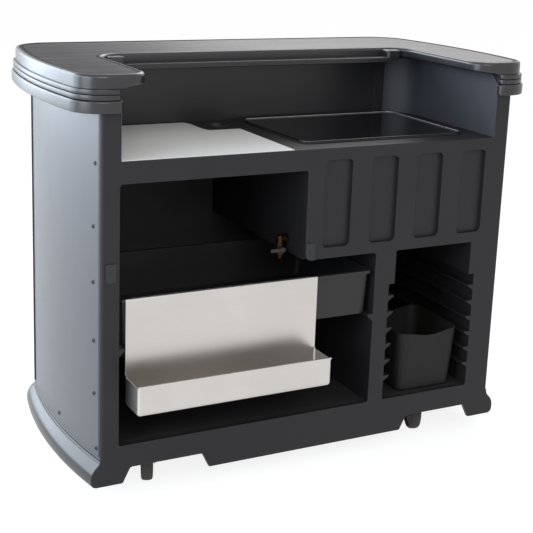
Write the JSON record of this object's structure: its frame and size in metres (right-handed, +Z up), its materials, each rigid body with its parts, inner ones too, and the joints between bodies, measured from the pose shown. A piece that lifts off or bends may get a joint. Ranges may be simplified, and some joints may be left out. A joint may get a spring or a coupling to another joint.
{
  "type": "portable bar",
  "caption": "Rolling moulded service bar with a U-shaped counter, deck with ice bin and cutting board, storage tray with speed rail, rack bay with waste bin and swivel casters.",
  "frame": {"origin": "ground point below the middle of the bounding box, between the speed rail trough and the rear of the counter", "axes": "+X along the length, to the right as the bartender sees it; +Y from the bartender to the customer; +Z up"},
  "size_m": [1.443, 0.824, 1.166],
  "materials": {
    "moulding": "satin black moulded polyethylene",
    "liner": "matt black inner wall",
    "decor_sheet": "semi-gloss black sheet",
    "laminate": "grey brushed-look laminate",
    "board": "off-white polyethylene",
    "lid_gloss": "gloss black sheet",
    "bin_black": "satin black",
    "stainless": "brushed stainless steel",
    "brass_fitting": "worn brass",
    "lever_sleeve": "pale vinyl sleeve",
    "waste_grey": "dark grey polypropylene",
    "zinc_steel": "zinc plated steel",
    "wheel_rubber": "grey rubber tread",
    "plate_grey": "dark grey painted steel"
  },
  "bodies": {
    "bar": {"base_skirt": "moulding", "front_rail": "moulding", "outer_wall": "moulding", "left_post": "moulding", "right_post": "moulding", "divider": "moulding", "rack_wall": "moulding", "ribbed_front": "moulding", "deck": "moulding", "splash_back": "moulding", "left_corner_strip": "moulding", "right_corner_strip": "moulding", "counter_top": "moulding", "glass_ledge": "moulding", "floor_panel": "liner", "left_liner": "liner", "rear_liner": "liner", "ice_well_side": "liner", "ice_well_floor": "liner", "hose_grommet": "liner", "left_end_sheet": "decor_sheet", "right_end_sheet": "decor_sheet", "customer_sheet": "decor_sheet", "left_splash_sheet": "decor_sheet", "right_splash_sheet": "decor_sheet", "counter_inlay": "laminate", "ice_bin": "bin_black", "drain_elbow": "brass_fitting", "drain_valve": "brass_fitting", "left_lock_plate": "plate_grey", "right_lock_plate": "plate_grey", "front_left_caster_plate": "zinc_steel", "front_right_caster_plate": "zinc_steel", "rear_left_caster_plate": "zinc_steel", "rear_right_caster_plate": "zinc_steel"},
    "board": {"cutting_board": "board"},
    "lid": {"ice_bin_lid": "lid_gloss"},
    "tray": {"storage_tray": "bin_black"},
    "rail": {"speed_rail": "stainless"},
    "lever": {"drain_lever": "lever_sleeve"},
    "waste": {"waste_bin": "waste_grey"},
    "front_left_caster": {"front_left_caster_fork": "zinc_steel", "front_left_caster_axle": "zinc_steel"},
    "front_left_wheel": {"front_left_caster_wheel": "wheel_rubber"},
    "front_right_caster": {"front_right_caster_fork": "zinc_steel", "front_right_caster_axle": "zinc_steel"},
    "front_right_wheel": {"front_right_caster_wheel": "wheel_rubber"},
    "rear_left_caster": {"rear_left_caster_fork": "zinc_steel", "rear_left_caster_axle": "zinc_steel"},
    "rear_left_wheel": {"rear_left_caster_wheel": "wheel_rubber"},
    "rear_right_caster": {"rear_right_caster_fork": "zinc_steel", "rear_right_caster_axle": "zinc_steel"},
    "rear_right_wheel": {"rear_right_caster_wheel": "wheel_rubber"}
  },
  "joints": [
    {"name": "front_left_swivel", "type": "hinge", "parent": "bar", "child": "front_left_caster", "pos_m": [-0.45, -0.173, 0.15], "axis": [0, 0, 1], "continuous": true},
    {"name": "front_left_roll", "type": "hinge", "parent": "front_left_caster", "child": "front_left_wheel", "pos_m": [-0.463, -0.20871, 0.06296], "axis": [0.9397, -0.342, 0], "continuous": true},
    {"name": "front_right_swivel", "type": "hinge", "parent": "bar", "child": "front_right_caster", "pos_m": [0.45, -0.173, 0.15], "axis": [0, 0, 1], "continuous": true},
    {"name": "front_right_roll", "type": "hinge", "parent": "front_right_caster", "child": "front_right_wheel", "pos_m": [0.437, -0.20871, 0.06296], "axis": [0.9397, -0.342, 0], "continuous": true},
    {"name": "rear_left_swivel", "type": "hinge", "parent": "bar", "child": "rear_left_caster", "pos_m": [-0.45, 0.213, 0.15], "axis": [0, 0, 1], "continuous": true},
    {"name": "rear_left_roll", "type": "hinge", "parent": "rear_left_caster", "child": "rear_left_wheel", "pos_m": [-0.463, 0.17729, 0.06296], "axis": [0.9397, -0.342, 0], "continuous": true},
    {"name": "rear_right_swivel", "type": "hinge", "parent": "bar", "child": "rear_right_caster", "pos_m": [0.45, 0.213, 0.15], "axis": [0, 0, 1], "continuous": true},
    {"name": "rear_right_roll", "type": "hinge", "parent": "rear_right_caster", "child": "rear_right_wheel", "pos_m": [0.437, 0.17729, 0.06296], "axis": [0.9397, -0.342, 0], "continuous": true},
    {"name": "tray_slide", "type": "slide", "parent": "bar", "child": "tray", "axis": [0, -1, 0], "range_m": [0, 0.3]},
    {"name": "rail_lift", "type": "slide", "parent": "tray", "child": "rail", "axis": [0, 0, 1], "range_m": [0, 0.04]},
    {"name": "board_lift", "type": "slide", "parent": "bar", "child": "board", "axis": [0, 0, 1], "range_m": [0, 0.15]},
    {"name": "lid_lift", "type": "slide", "parent": "bar", "child": "lid", "axis": [0, 0, 1], "range_m": [0, 0.12]},
    {"name": "waste_bin_slide", "type": "slide", "parent": "bar", "child": "waste", "axis": [0, -1, 0], "range_m": [0, 0.25]},
    {"name": "drain_lever_turn", "type": "hinge", "parent": "bar", "child": "lever", "pos_m": [-0.0613, -0.227, 0.6377], "axis": [0, -1, 0], "range_deg": [0, 90]}
  ]
}
